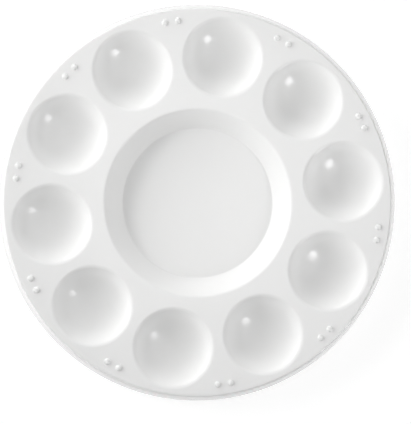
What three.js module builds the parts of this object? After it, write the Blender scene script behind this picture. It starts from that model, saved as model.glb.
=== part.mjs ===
// Round mixing palette: one thin plastic moulding with ten bowl wells round a wide, flat centre well.
// The moulding is drawn as its named regions, which meet face to face and share their edges:
// a flat deck, a skirt that carries it, the wells let into it and the small pips that stand on it.
// Units are millimetres. +Z is up, the origin is under the centre of the palette, and the first
// well lies on +X. The palette stands on the foot of its skirt, at Z = 0.
import * as THREE from 'three';

// Whole palette
const HEIGHT = 12; // top of the deck above the table
const WALL = 1.2; // thickness of the moulding
const FOOT_RADIUS = 85; // outside of the skirt where it stands
const DECK_RADIUS = 80.6; // where the deck meets the skirt
const DECK_TOP = HEIGHT;
const DECK_UNDERSIDE = HEIGHT - WALL;

// Skirt
const SHOULDER_RADIUS = 1;
const SKIRT_DRAFT = THREE.MathUtils.degToRad(15); // lean of the skirt out of the vertical

// Paint wells, each a spherical bowl
const WELL_COUNT = 10;
const WELL_PITCH_RADIUS = 62;
const WELL_RADIUS = 16.5; // where the bowl meets the deck
const WELL_DEPTH = 9.2;
const WELL_LIP = 0.6; // width of the eased edge, each side of the well's radius
const WELL_FLANGE_RADIUS = 17.6; // flat ring round the well, up to the deck region

// Centre well, a shallow dish with a flat floor
const CENTRE_RADIUS = 39.4; // where its wall meets the deck
const CENTRE_FLOOR_RADIUS = 32;
const CENTRE_DEPTH = 9;
const CENTRE_LIP = 0.8;
const CENTRE_FLANGE_RADIUS = 40.8;
const CENTRE_ROOT = 0.2; // width of the eased corner underneath, where the wall meets the flange

// Brush rests, a pair of pips on the deck between each two wells
const REST_PITCH_RADIUS = 77;
const REST_SPACING = 5.5; // between the centres of a pair
const PIP_RADIUS = 1.2;
const PIP_HEIGHT = 1;

// Facets round each region. Regions that meet have the same count, so that their edges are shared.
const OUTER_FACETS = 96;
const CENTRE_FACETS = 60;
const WELL_FACETS = 24;
const PIP_FACETS = 12;

const plastic = () => new THREE.MeshStandardMaterial({ color: 0xf4f5f4, roughness: 0.28, metalness: 0 });

const palette = new THREE.Group();

function addPiece(name, geometry, x = 0, y = 0, z = 0) {
  const mesh = new THREE.Mesh(geometry, plastic());
  mesh.name = name;
  mesh.position.set(x, y, z);
  palette.add(mesh);
}

// A profile of [radius, height] points, turned round the vertical axis.
function turned(profile, facets) {
  const points = profile.map(([radius, height]) => new THREE.Vector2(radius, height));
  return new THREE.LatheGeometry(points, facets).rotateX(Math.PI / 2);
}

// The corners of a regular polygon, as the turned regions have them.
function polygon(x, y, radius, facets) {
  const corners = [];
  for (let i = 0; i < facets; i += 1) {
    const angle = (i / facets) * 2 * Math.PI;
    corners.push(new THREE.Vector2(x + radius * Math.cos(angle), y + radius * Math.sin(angle)));
  }
  return corners;
}

// Points on an arc, angles in radians from the profile's outward direction, both ends included.
function arc(radius, height, bend, from, to, steps) {
  const points = [];
  for (let i = 0; i <= steps; i += 1) {
    const angle = from + ((to - from) * i) / steps;
    points.push([radius + bend * Math.cos(angle), height + bend * Math.sin(angle)]);
  }
  return points;
}

function wellPlace(index) {
  const angle = (index / WELL_COUNT) * 2 * Math.PI;
  return [WELL_PITCH_RADIUS * Math.cos(angle), WELL_PITCH_RADIUS * Math.sin(angle)];
}

// The flat top of the palette, a plate with an opening for each well.
function deck() {
  const outline = new THREE.Shape(polygon(0, 0, DECK_RADIUS, OUTER_FACETS));
  outline.holes.push(new THREE.Path(polygon(0, 0, CENTRE_FLANGE_RADIUS, CENTRE_FACETS)));
  for (let i = 0; i < WELL_COUNT; i += 1) {
    const [x, y] = wellPlace(i);
    outline.holes.push(new THREE.Path(polygon(x, y, WELL_FLANGE_RADIUS, WELL_FACETS)));
  }
  return new THREE.ExtrudeGeometry(outline, { depth: WALL, bevelEnabled: false });
}

// The outer edge: a rounded shoulder and a skirt that flares to the foot.
function skirt() {
  const lean = Math.tan(SKIRT_DRAFT);
  const footWidth = WALL / Math.cos(SKIRT_DRAFT);
  const cornerRadius = FOOT_RADIUS - HEIGHT * lean;
  const shoulderReach = SHOULDER_RADIUS * Math.tan((Math.PI / 2 - SKIRT_DRAFT) / 2);
  const shoulderStart = cornerRadius - shoulderReach;
  const shoulderHeight = DECK_TOP - SHOULDER_RADIUS;
  return turned([
    [DECK_RADIUS, DECK_UNDERSIDE],
    [FOOT_RADIUS - footWidth - DECK_UNDERSIDE * lean, DECK_UNDERSIDE],
    [FOOT_RADIUS - footWidth, 0],
    [FOOT_RADIUS, 0],
    ...arc(shoulderStart, shoulderHeight, SHOULDER_RADIUS, SKIRT_DRAFT, Math.PI / 2, 4),
    [DECK_RADIUS, DECK_TOP],
    [DECK_RADIUS, DECK_UNDERSIDE],
  ], OUTER_FACETS);
}

// A bowl with a wall of even thickness. Its bend follows from its radius and depth.
function paintWell() {
  const bend = (WELL_RADIUS ** 2 + WELL_DEPTH ** 2) / (2 * WELL_DEPTH);
  const middle = DECK_TOP - WELL_DEPTH + bend;
  const lowest = -Math.PI / 2;
  const insideEnd = Math.acos((WELL_RADIUS - WELL_LIP) / bend);
  const outsideEnd = Math.asin((middle - DECK_UNDERSIDE) / (bend + WALL));
  return turned([
    ...arc(0, middle, bend + WALL, lowest, -outsideEnd, 4),
    [WELL_FLANGE_RADIUS, DECK_UNDERSIDE],
    [WELL_FLANGE_RADIUS, DECK_TOP],
    [WELL_RADIUS + WELL_LIP, DECK_TOP],
    ...arc(0, middle, bend, -insideEnd, lowest, 5),
  ].map(onAxis), WELL_FACETS);
}

// The last rounding error is taken off a point that lies on the axis.
function onAxis([radius, height]) {
  return [radius < 1e-9 ? 0 : radius, height];
}

// A dish with a flat floor and a sloping wall of even thickness.
function centreWell() {
  const floor = DECK_TOP - CENTRE_DEPTH;
  const slope = Math.atan2(CENTRE_DEPTH, CENTRE_RADIUS - CENTRE_FLOOR_RADIUS);
  const outward = WALL * Math.tan(slope / 2);
  const lipDrop = CENTRE_LIP * Math.tan(slope);
  return turned([
    [0, floor - WALL],
    [CENTRE_FLOOR_RADIUS + outward, floor - WALL],
    [CENTRE_RADIUS + outward - CENTRE_ROOT, DECK_UNDERSIDE - CENTRE_ROOT * Math.tan(slope)],
    [CENTRE_FLANGE_RADIUS, DECK_UNDERSIDE],
    [CENTRE_FLANGE_RADIUS, DECK_TOP],
    [CENTRE_RADIUS + CENTRE_LIP, DECK_TOP],
    [CENTRE_RADIUS - CENTRE_LIP / 2, DECK_TOP - lipDrop / 2],
    [CENTRE_FLOOR_RADIUS, floor],
    [0, floor],
  ], CENTRE_FACETS);
}

// A small dome that stands on the deck.
function pip() {
  const rise = Math.PI / 2;
  const dome = [];
  for (let i = 0; i <= 3; i += 1) {
    const angle = (rise * i) / 3;
    dome.push([PIP_RADIUS * Math.cos(angle), PIP_HEIGHT * Math.sin(angle)]);
  }
  return turned([[0, 0], ...dome].map(onAxis), PIP_FACETS);
}

addPiece('deck', deck(), 0, 0, DECK_UNDERSIDE);
addPiece('rim_skirt', skirt());
addPiece('centre_well', centreWell());

for (let i = 0; i < WELL_COUNT; i += 1) {
  const label = String(i + 1).padStart(2, '0');
  const [x, y] = wellPlace(i);
  addPiece(`paint_well_${label}`, paintWell(), x, y);

  const middle = ((i + 0.5) / WELL_COUNT) * 2 * Math.PI;
  const swing = Math.asin(REST_SPACING / 2 / REST_PITCH_RADIUS);
  for (const [side, angle] of [['right', middle - swing], ['left', middle + swing]]) {
    const restX = REST_PITCH_RADIUS * Math.cos(angle);
    const restY = REST_PITCH_RADIUS * Math.sin(angle);
    addPiece(`brush_rest_${label}_${side}`, pip(), restX, restY, DECK_TOP);
  }
}

export default palette;
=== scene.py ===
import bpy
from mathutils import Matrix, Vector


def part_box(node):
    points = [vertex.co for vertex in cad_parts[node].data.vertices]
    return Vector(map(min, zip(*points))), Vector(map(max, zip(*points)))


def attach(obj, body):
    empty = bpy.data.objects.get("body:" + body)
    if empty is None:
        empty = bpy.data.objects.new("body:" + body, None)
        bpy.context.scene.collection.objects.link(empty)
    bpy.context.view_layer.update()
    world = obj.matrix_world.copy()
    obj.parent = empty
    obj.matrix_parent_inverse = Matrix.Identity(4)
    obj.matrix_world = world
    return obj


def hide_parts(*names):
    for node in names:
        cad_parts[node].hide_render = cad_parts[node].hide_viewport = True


bl_info = {
    "name": "Round Mixing Palette",
    "version": (1, 0, 0),
    "blender": (4, 5, 0),
    "location": "3D View > Sidebar > Palette",
    "description": "Models a round moulded mixing palette around its packed frame, and the studio for it",
    "category": "Object",
}

import math

import bmesh
import bpy
from mathutils import Matrix, Vector

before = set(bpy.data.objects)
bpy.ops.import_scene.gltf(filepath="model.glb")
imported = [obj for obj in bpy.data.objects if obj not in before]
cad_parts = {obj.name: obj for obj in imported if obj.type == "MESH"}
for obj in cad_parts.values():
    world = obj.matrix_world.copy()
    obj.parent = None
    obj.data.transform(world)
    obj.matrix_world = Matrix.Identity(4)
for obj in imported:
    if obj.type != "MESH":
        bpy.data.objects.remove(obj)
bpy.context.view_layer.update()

BODY = "root"
PLASTIC = "moulded_plastic"  # the frame has a plain material under the slot's own name

# Turned pieces that meet have the same number of segments, so that their edges are shared.
RIM_SEGMENTS = 288
CENTRE_SEGMENTS = 192
WELL_SEGMENTS = 96
PIP_SEGMENTS = 32
BOWL_STEPS = 36
PIP_STEPS = 10
PIP_FOOT_STEPS = 5
SHARP_ANGLE = math.radians(30)
MERGE_DISTANCE = 1e-7

WELLS = sorted(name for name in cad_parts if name.startswith("paint_well_"))
BRUSH_RESTS = sorted(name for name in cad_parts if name.startswith("brush_rest_"))

DECK_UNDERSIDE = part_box("deck")[0].z
DECK_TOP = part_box("deck")[1].z
WALL = DECK_TOP - DECK_UNDERSIDE
DECK_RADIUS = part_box("deck")[1].x
FOOT_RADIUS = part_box("rim_skirt")[1].x
PIP_ROOT = DECK_TOP - WALL / 4  # a pip reaches this far down into the deck
CENTRE_FLANGE_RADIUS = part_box("centre_well")[1].x
CENTRE_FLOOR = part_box("centre_well")[0].z + WALL


def middle(node):
    """The middle of a node's box, seen from above."""
    low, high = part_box(node)
    return (low.x + high.x) / 2, (low.y + high.y) / 2


def half_width(node):
    low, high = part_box(node)
    return (high.x - low.x) / 2


# ---------------------------------------------------------------------------
# Sizes and finishes that a user would change
# ---------------------------------------------------------------------------


def length(name, description, default):
    return bpy.props.FloatProperty(
        name=name, description=description, default=default, min=0, unit="LENGTH", precision=5
    )


def slope(name, description, degrees):
    return bpy.props.FloatProperty(
        name=name, description=description, default=math.radians(degrees), subtype="ANGLE"
    )


class PaletteSizes(bpy.types.PropertyGroup):
    well_radius: length("Well radius", "Radius of a bowl where its wall would meet the deck", 0.0165)
    well_lip: length("Well lip", "Rounding of a bowl's edge", 0.002)
    centre_radius: length("Centre radius", "Radius of the centre well where it meets the deck", 0.0394)
    centre_floor_radius: length("Centre floor", "Radius of the centre well's flat floor", 0.032)
    centre_lip: length("Centre lip", "Rounding of the centre well's edge", 0.0016)
    centre_foot: length("Centre foot", "Rounding where the centre well's wall meets its floor", 0.0009)
    shoulder: length("Shoulder", "Rounding of the palette's outer edge", 0.001)
    edge: length("Small edges", "Rounding of the foot and of the inside corners", 0.0003)
    pip_foot: length("Pip foot", "Rounding where a pip grows out of the deck", 0.00035)
    skirt_draft: slope("Skirt draft", "Lean of the skirt out of the vertical", 15)
    well_slope: slope("Well slope", "Slope of a bowl's wall where it is steepest", 55)


class PaletteFinish(bpy.types.PropertyGroup):
    colour: bpy.props.FloatVectorProperty(
        name="Plastic", description="Colour of the moulded plastic",
        default=(0.89, 0.89, 0.885), subtype="COLOR", min=0, max=1,
    )
    roughness: bpy.props.FloatProperty(
        name="Roughness", description="Mean roughness of the polished surface",
        default=0.1, min=0, max=1, subtype="FACTOR",
    )
    peel: length("Orange peel", "Height of the fine ripple left by the mould's polish", 0.000004)
    sink: length("Sink", "Height of the slow waves left as the plastic cools", 0.00002)


class StudioSettings(bpy.types.PropertyGroup):
    brightness: bpy.props.FloatProperty(
        name="Brightness", description="Strength of all the lights together", default=1, min=0
    )
    fill: bpy.props.FloatProperty(
        name="Fill", description="Even light from above and all round", default=0.26, min=0
    )
    bounce: bpy.props.FloatProperty(
        name="Bounce", description="Even light from below, as the floor throws it back",
        default=0.6, min=0,
    )
    turn: slope("Turn", "Angle that the palette is turned to the left in the camera's view", 8.32)
    camera_height: length("Camera height", "Height of the camera above the deck", 0.6)
    camera_aside: length("Camera aside", "How far the camera stands to the left of the palette", 0.012)
    aim_right: length("Aim right", "How far right of the palette's middle the camera aims", 0.00316)
    aim_down: length("Aim down", "How far below the palette's middle the camera aims", 0.00385)
    lens: bpy.props.FloatProperty(
        name="Lens", description="Focal length of the camera", default=121.05, unit="CAMERA"
    )


# ---------------------------------------------------------------------------
# Profiles and turned pieces
# ---------------------------------------------------------------------------


def arc(radius, height, bend, start, end, steps):
    """Points on an arc of a profile, both ends included. Angles are counted from outward."""
    points = []
    for i in range(steps + 1):
        angle = start + (end - start) * i / steps
        points.append((radius + bend * math.cos(angle), height + bend * math.sin(angle)))
    return points


def rounded(before, corner, after, bend, steps=8):
    """The arc of radius bend that rounds off a profile's corner."""
    corner = Vector(corner)
    back = (Vector(before) - corner).normalized()
    on = (Vector(after) - corner).normalized()
    half = back.angle(on) / 2
    centre = corner + (back + on).normalized() * bend / math.sin(half)
    reach = bend / math.tan(half)
    first = corner + back * reach - centre
    last = corner + on * reach - centre
    start = math.atan2(first.y, first.x)
    sweep = math.remainder(math.atan2(last.y, last.x) - start, math.tau)
    return arc(centre.x, centre.y, bend, start, start + sweep, steps)


def rounded_profile(corners):
    """A profile from corners of (radius, height, rounding). The first and last corners stay sharp."""
    points = [corners[0][:2]]
    for before, (radius, height, bend), after in zip(corners, corners[1:], corners[2:]):
        if bend:
            points += rounded(before[:2], (radius, height), after[:2], bend)
        else:
            points.append((radius, height))
    return points + [corners[-1][:2]]


def turned(profile, segments):
    """A closed solid, made by turning a profile that ends on the axis or closes on itself."""
    bm = bmesh.new()
    verts = [bm.verts.new((radius, 0, height)) for radius, height in profile]
    edges = [bm.edges.new(ends) for ends in zip(verts, verts[1:])]
    bmesh.ops.spin(
        bm, geom=verts + edges, cent=(0, 0, 0), axis=(0, 0, 1),
        angle=math.tau, steps=segments, use_merge=True,
    )
    bmesh.ops.remove_doubles(bm, verts=bm.verts, dist=MERGE_DISTANCE)
    bmesh.ops.recalc_face_normals(bm, faces=bm.faces)
    return bm


def circle(bm, radius, x, y, height, segments):
    """The edges of a circle that lies flat."""
    made = bmesh.ops.create_circle(bm, radius=radius, segments=segments)
    bmesh.ops.translate(bm, verts=made["verts"], vec=(x, y, height))
    return list({edge for vert in made["verts"] for edge in vert.link_edges})


def add_piece(name, bm, node):
    """Makes the bmesh a piece that stands for a node of the frame."""
    for face in bm.faces:
        face.smooth = True
    for edge in bm.edges:
        edge.smooth = edge.calc_face_angle(0) < SHARP_ANGLE
    mesh = bpy.data.meshes.new(name)
    bm.to_mesh(mesh)
    bm.free()
    mesh.materials.append(white_plastic())
    piece = bpy.data.objects.new(name, mesh)
    bpy.context.scene.collection.objects.link(piece)
    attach(piece, BODY)
    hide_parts(node)


# ---------------------------------------------------------------------------
# Material
# ---------------------------------------------------------------------------

# Scales of the noise patterns, about as many waves to the metre.
CLOUD_SCALE = 38
SMEAR_SCALE = 160
PEEL_SCALE = 400
CLOUDED = 0.985  # brightness of the plastic where it is cloudiest
SMEAR_RANGE = 0.06  # how far the roughness varies from smear to smear


class Wire:
    """An output of a node, which can be used in sums."""

    def __init__(self, shader, socket):
        self.shader = shader
        self.socket = socket

    def maths(self, operation, first, second):
        return self.shader.node("ShaderNodeMath", {"operation": operation}, {0: first, 1: second})

    def __add__(self, other):
        return self.maths("ADD", self, other)

    def __mul__(self, other):
        return self.maths("MULTIPLY", self, other)

    __radd__ = __add__
    __rmul__ = __mul__


class Shader:
    """The nodes of a material or of the world, built one by one."""

    def __init__(self, owner):
        owner.use_nodes = True
        self.tree = owner.node_tree
        self.tree.nodes.clear()

    def node(self, kind, settings=None, inputs=None, output=0):
        """A new node's output. Its settings come first, then the values or wires of its sockets."""
        made = self.tree.nodes.new(kind)
        for name, value in (settings or {}).items():
            setattr(made, name, value)
        for name, value in (inputs or {}).items():
            if isinstance(value, Wire):
                self.tree.links.new(value.socket, made.inputs[name])
            else:
                made.inputs[name].default_value = value
        return Wire(self, made.outputs[output]) if made.outputs else None


def white_plastic():
    """Glossy white plastic as it leaves a polished mould."""
    made = bpy.data.materials.get(PLASTIC)
    if made:
        return made
    made = bpy.data.materials.new(PLASTIC)
    finish = bpy.context.scene.palette_finish
    shader = Shader(made)
    place = shader.node("ShaderNodeTexCoord", output="Object")

    def noise(scale, detail=2.0):
        return shader.node(
            "ShaderNodeTexNoise", inputs={"Vector": place, "Scale": scale, "Detail": detail}
        )

    cloud = noise(CLOUD_SCALE)
    smears = noise(SMEAR_SCALE, 4)
    peel = noise(PEEL_SCALE)
    tint = shader.node(
        "ShaderNodeMix", {"data_type": "RGBA"},
        {"Factor": cloud, "A": (*finish.colour, 1), "B": (*[CLOUDED * c for c in finish.colour], 1)},
        output="Result",
    )
    roughness = finish.roughness - SMEAR_RANGE / 2 + smears * SMEAR_RANGE
    height = peel * finish.peel + cloud * finish.sink
    normal = shader.node("ShaderNodeBump", inputs={"Height": height, "Distance": 1.0, "Strength": 1.0})
    surface = shader.node(
        "ShaderNodeBsdfPrincipled",
        inputs={"Base Color": tint, "Roughness": roughness, "IOR": 1.5, "Normal": normal},
    )
    shader.node("ShaderNodeOutputMaterial", inputs={"Surface": surface})
    return made


# ---------------------------------------------------------------------------
# Pieces
# ---------------------------------------------------------------------------


class PALETTE_OT_deck(bpy.types.Operator):
    """Model the flat top of the palette, with an opening for each well"""

    bl_idname = "mixing_palette.deck"
    bl_label = "Deck"

    def execute(self, context):
        bm = bmesh.new()
        edges = circle(bm, DECK_RADIUS, 0, 0, DECK_TOP, RIM_SEGMENTS)
        edges += circle(bm, CENTRE_FLANGE_RADIUS, 0, 0, DECK_TOP, CENTRE_SEGMENTS)
        for well in WELLS:
            edges += circle(bm, half_width(well), *middle(well), DECK_TOP, WELL_SEGMENTS)
        top = bmesh.ops.triangle_fill(bm, use_beauty=True, edges=edges, normal=(0, 0, 1))
        faces = [item for item in top["geom"] if isinstance(item, bmesh.types.BMFace)]
        lower = bmesh.ops.extrude_face_region(bm, geom=faces, use_keep_orig=True)
        verts = [item for item in lower["geom"] if isinstance(item, bmesh.types.BMVert)]
        bmesh.ops.translate(bm, verts=verts, vec=(0, 0, -WALL))
        bmesh.ops.recalc_face_normals(bm, faces=bm.faces)
        add_piece("moulded_deck", bm, "deck")
        return {"FINISHED"}


class PALETTE_OT_rim_skirt(bpy.types.Operator):
    """Model the rounded shoulder and the flared skirt that the palette stands on"""

    bl_idname = "mixing_palette.rim_skirt"
    bl_label = "Rim skirt"

    def execute(self, context):
        sizes = context.scene.palette_sizes
        lean = math.tan(sizes.skirt_draft)
        footing = WALL / math.cos(sizes.skirt_draft)
        inner = FOOT_RADIUS - footing
        profile = rounded_profile([
            (DECK_RADIUS, DECK_TOP, 0),
            (FOOT_RADIUS - lean * DECK_TOP, DECK_TOP, sizes.shoulder),
            (FOOT_RADIUS, 0, sizes.edge),
            (inner, 0, sizes.edge),
            (inner - lean * DECK_UNDERSIDE, DECK_UNDERSIDE, 2 * sizes.edge),
            (DECK_RADIUS, DECK_UNDERSIDE, 0),
            (DECK_RADIUS, DECK_TOP, 0),
        ])
        add_piece("moulded_rim_skirt", turned(profile, RIM_SEGMENTS), "rim_skirt")
        return {"FINISHED"}


class PALETTE_OT_centre_well(bpy.types.Operator):
    """Model the wide centre well with its sloping wall and flat floor"""

    bl_idname = "mixing_palette.centre_well"
    bl_label = "Centre well"

    def execute(self, context):
        sizes = context.scene.palette_sizes
        run = sizes.centre_radius - sizes.centre_floor_radius
        outward = WALL * math.tan(math.atan2(DECK_TOP - CENTRE_FLOOR, run) / 2)
        profile = rounded_profile([
            (0, CENTRE_FLOOR, 0),
            (sizes.centre_floor_radius, CENTRE_FLOOR, sizes.centre_foot),
            (sizes.centre_radius, DECK_TOP, sizes.centre_lip),
            (CENTRE_FLANGE_RADIUS, DECK_TOP, 0),
            (CENTRE_FLANGE_RADIUS, DECK_UNDERSIDE, 0),
            (sizes.centre_radius + outward, DECK_UNDERSIDE, sizes.edge),
            (sizes.centre_floor_radius + outward, CENTRE_FLOOR - WALL, sizes.centre_lip),
            (0, CENTRE_FLOOR - WALL, 0),
        ])
        add_piece("moulded_centre_well", turned(profile, CENTRE_SEGMENTS), "centre_well")
        return {"FINISHED"}


class PALETTE_OT_paint_wells(bpy.types.Operator):
    """Model the ring of bowls that hold the paint"""

    bl_idname = "mixing_palette.paint_wells"
    bl_label = "Paint wells"

    def execute(self, context):
        sizes = context.scene.palette_sizes
        steepness = math.tan(sizes.well_slope)
        for well in WELLS:
            flange = half_width(well)
            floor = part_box(well)[0].z + WALL
            depth = DECK_TOP - floor
            bend = (sizes.well_radius * steepness - depth) / (1 / math.cos(sizes.well_slope) - 1)
            inside = self.bowl(bend, floor, sizes.well_slope)
            outside = self.bowl(bend + WALL, floor - WALL, sizes.well_slope)
            outer_corner = outside[-1][0] + (DECK_UNDERSIDE - outside[-1][1]) / steepness
            profile = inside[:-1] + rounded_profile([
                (*inside[-1], 0),
                (sizes.well_radius, DECK_TOP, sizes.well_lip),
                (flange, DECK_TOP, 0),
                (flange, DECK_UNDERSIDE, 0),
                (outer_corner, DECK_UNDERSIDE, sizes.edge),
                (*outside[-1], 0),
            ]) + outside[-2::-1]
            bm = turned(profile, WELL_SEGMENTS)
            bmesh.ops.translate(bm, verts=bm.verts, vec=(*middle(well), 0))
            add_piece("moulded_" + well, bm, well)
        return {"FINISHED"}

    @staticmethod
    def bowl(bend, lowest, steepest):
        """A bowl's arc, from the axis up to its steepest slope."""
        return arc(0, lowest + bend, bend, -math.pi / 2, steepest - math.pi / 2, BOWL_STEPS)


class PALETTE_OT_brush_rests(bpy.types.Operator):
    """Model the pairs of pips between the wells"""

    bl_idname = "mixing_palette.brush_rests"
    bl_label = "Brush rests"

    def execute(self, context):
        foot = context.scene.palette_sizes.pip_foot
        for rest in BRUSH_RESTS:
            radius = half_width(rest)
            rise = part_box(rest)[1].z - DECK_TOP - foot
            profile = [(0, DECK_TOP + foot + rise)]
            for i in range(1, PIP_STEPS + 1):
                angle = math.pi / 2 * i / PIP_STEPS
                profile.append((radius * math.sin(angle), DECK_TOP + foot + rise * math.cos(angle)))
            profile += arc(
                radius + foot, DECK_TOP + foot, foot, math.pi, math.pi * 1.5, PIP_FOOT_STEPS
            )[1:]
            profile += [(radius + foot, PIP_ROOT), (0, PIP_ROOT)]
            bm = turned(profile, PIP_SEGMENTS)
            bmesh.ops.translate(bm, verts=bm.verts, vec=(*middle(rest), 0))
            add_piece("moulded_" + rest, bm, rest)
        return {"FINISHED"}


# ---------------------------------------------------------------------------
# Studio
# ---------------------------------------------------------------------------

FLOOR_RADIUS = 3
BACKDROP_RADIUS = 2.6
BACKDROP_HEIGHT = 3.2
STAGE_SEGMENTS = 96
WHITE = (1, 1, 1, 1)
PAPER_TONE = 0.4
FLOOR_GLOW = 0.72
BACKDROP_GLOW = 0.85

class PALETTE_OT_studio(bpy.types.Operator):
    """Set up the pale floor and backdrop, the soft lights and the camera"""

    bl_idname = "mixing_palette.studio"
    bl_label = "Studio"

    def execute(self, context):
        studio = context.scene.palette_studio
        self.brightness = studio.brightness
        self.right = Vector((math.cos(studio.turn), -math.sin(studio.turn), 0))
        self.up = Vector((math.sin(studio.turn), math.cos(studio.turn), 0))

        self.stage_piece("floor", [(0, 0), (FLOOR_RADIUS, 0)], FLOOR_GLOW, unseen=("diffuse",))
        self.stage_piece(
            "backdrop", [(BACKDROP_RADIUS, 0), (BACKDROP_RADIUS, BACKDROP_HEIGHT)], BACKDROP_GLOW,
            unseen=("diffuse", "glossy", "transmission", "shadow"),
        )

        self.soft_light(
            "window", place=(-0.25, 0.085, 0.164), towards=(0.09, -0.012),
            size=(0.214, 0.072), radiance=12.4, spread=math.radians(56), unseen="glossy",
        )
        self.soft_light(
            "wall", place=(-0.53, 0.19, 0.188), towards=(0.3, -0.2),
            size=(3, 0.27), radiance=2.8, spread=math.pi, unseen="glossy",
        )
        self.soft_light(
            "lamp", place=(0.31, -0.262, 0.22), towards=(0.04, 0.142),
            size=(0.19, 0.2), radiance=7, spread=math.radians(53), unseen="glossy",
        )
        self.soft_light(
            "lamp_glint", place=(0.31, -0.262, 0.22), towards=(0.06, 0.06),
            size=(0.15, 0.17), radiance=8.5, spread=math.radians(52), unseen="diffuse",
        )
        self.soft_light(
            "reflector", place=(0.177, 0.328, 0.1), towards=(0, 0),
            size=(0.49, 0.12), radiance=0.65, spread=math.pi,
        )
        self.soft_light(
            "ceiling", place=(0.056, -0.034, 0.25), towards=(-0.2, -0.077),
            size=(0.36, 0.36), radiance=1.15, spread=math.radians(124),
        )

        context.scene.world = self.surroundings(studio.fill, studio.bounce)
        context.scene.view_settings.view_transform = "Standard"

        camera = bpy.data.objects.new("camera", bpy.data.cameras.new("camera"))
        camera.data.lens = studio.lens
        camera.location = self.over(-studio.camera_aside, 0, studio.camera_height)
        aim = self.over(studio.aim_right, -studio.aim_down, 0)
        back = (camera.location - aim).normalized()
        side = self.up.cross(back).normalized()
        turned_to = Matrix((side, back.cross(side), back)).transposed().to_4x4()
        camera.matrix_world = Matrix.Translation(camera.location) @ turned_to
        context.scene.collection.objects.link(camera)
        context.scene.camera = camera
        return {"FINISHED"}

    def over(self, right, up, height):
        """A place given from the middle of the deck, along the camera's right and up directions."""
        return Vector((0, 0, DECK_TOP + height)) + self.right * right + self.up * up

    def soft_light(self, name, place, towards, size, radiance, spread, unseen="camera"):
        """A rectangular light whose beam is brightest straight ahead and fades to half its spread.

        The camera never sees it, and it takes no part in the further kind of ray named by unseen.
        """
        light = bpy.data.lights.new(name, "AREA")
        light.shape = "RECTANGLE"
        light.size, light.size_y = size
        light.spread = spread
        half = spread / 2
        focus = 1 - half / math.tan(half) if spread < math.pi else 1
        light.energy = self.brightness * radiance * math.pi * size[0] * size[1] * focus
        lamp = bpy.data.objects.new(name, light)
        lamp.location = self.over(*place)
        beam = lamp.location - self.over(*towards, 0)
        lamp.rotation_euler = beam.to_track_quat("Z", "Y").to_euler()
        for ray in ("camera", unseen):
            setattr(lamp, "visible_" + ray, False)
        bpy.context.scene.collection.objects.link(lamp)

    @staticmethod
    def surroundings(fill, bounce):
        """Even light of one strength from above and of another from below."""
        world = bpy.data.worlds.new("surroundings")
        shader = Shader(world)
        direction = shader.node("ShaderNodeTexCoord", output="Generated")
        rise = shader.node("ShaderNodeSeparateXYZ", inputs={"Vector": direction}, output="Z")
        below = rise.maths("LESS_THAN", rise, 0)
        strength = fill + below * (bounce - fill)
        light = shader.node("ShaderNodeBackground", inputs={"Color": WHITE, "Strength": strength})
        shader.node("ShaderNodeOutputWorld", inputs={"Surface": light})
        return world

    @staticmethod
    def stage_piece(name, profile, glow, unseen):
        """A round floor or wall of pale paper that glows a little, so that it stays even."""
        bm = bmesh.new()
        verts = [bm.verts.new((radius, 0, height)) for radius, height in profile]
        bmesh.ops.spin(
            bm, geom=verts + [bm.edges.new(verts)], cent=(0, 0, 0), axis=(0, 0, 1),
            angle=math.tau, steps=STAGE_SEGMENTS, use_merge=True,
        )
        bmesh.ops.remove_doubles(bm, verts=bm.verts, dist=MERGE_DISTANCE)
        mesh = bpy.data.meshes.new(name)
        bm.to_mesh(mesh)
        bm.free()
        material = bpy.data.materials.new(name + "_paper")
        paper = Shader(material)
        surface = paper.node(
            "ShaderNodeBsdfPrincipled",
            inputs={"Base Color": (PAPER_TONE, PAPER_TONE, PAPER_TONE, 1), "Roughness": 0.9,
                    "Emission Color": WHITE, "Emission Strength": glow},
        )
        paper.node("ShaderNodeOutputMaterial", inputs={"Surface": surface})
        mesh.materials.append(material)
        piece = bpy.data.objects.new(name, mesh)
        bpy.context.scene.collection.objects.link(piece)
        for ray in unseen:
            setattr(piece, "visible_" + ray, False)


# ---------------------------------------------------------------------------
# Panel and registration
# ---------------------------------------------------------------------------


class PALETTE_PT_panel(bpy.types.Panel):
    bl_idname = "PALETTE_PT_panel"
    bl_label = "Mixing palette"
    bl_space_type = "VIEW_3D"
    bl_region_type = "UI"
    bl_category = "Palette"

    def draw(self, context):
        for maker in MAKERS:
            self.layout.operator(maker.bl_idname)
        for name in SETTINGS:
            group = getattr(context.scene, name)
            box = self.layout.box()
            for field in group.__annotations__:
                box.prop(group, field)


MAKERS = (
    PALETTE_OT_deck,
    PALETTE_OT_rim_skirt,
    PALETTE_OT_centre_well,
    PALETTE_OT_paint_wells,
    PALETTE_OT_brush_rests,
    PALETTE_OT_studio,
)
SETTINGS = {
    "palette_sizes": PaletteSizes,
    "palette_finish": PaletteFinish,
    "palette_studio": StudioSettings,
}


def register():
    for name, group in SETTINGS.items():
        bpy.utils.register_class(group)
        setattr(bpy.types.Scene, name, bpy.props.PointerProperty(type=group))
    for maker in MAKERS:
        bpy.utils.register_class(maker)
    bpy.utils.register_class(PALETTE_PT_panel)


def unregister():
    bpy.utils.unregister_class(PALETTE_PT_panel)
    for maker in reversed(MAKERS):
        bpy.utils.unregister_class(maker)
    for name, group in SETTINGS.items():
        delattr(bpy.types.Scene, name)
        bpy.utils.unregister_class(group)


def main():
    register()
    bpy.ops.mixing_palette.deck()
    bpy.ops.mixing_palette.rim_skirt()
    bpy.ops.mixing_palette.centre_well()
    bpy.ops.mixing_palette.paint_wells()
    bpy.ops.mixing_palette.brush_rests()
    bpy.ops.mixing_palette.studio()


if __name__ == "__main__":
    main()
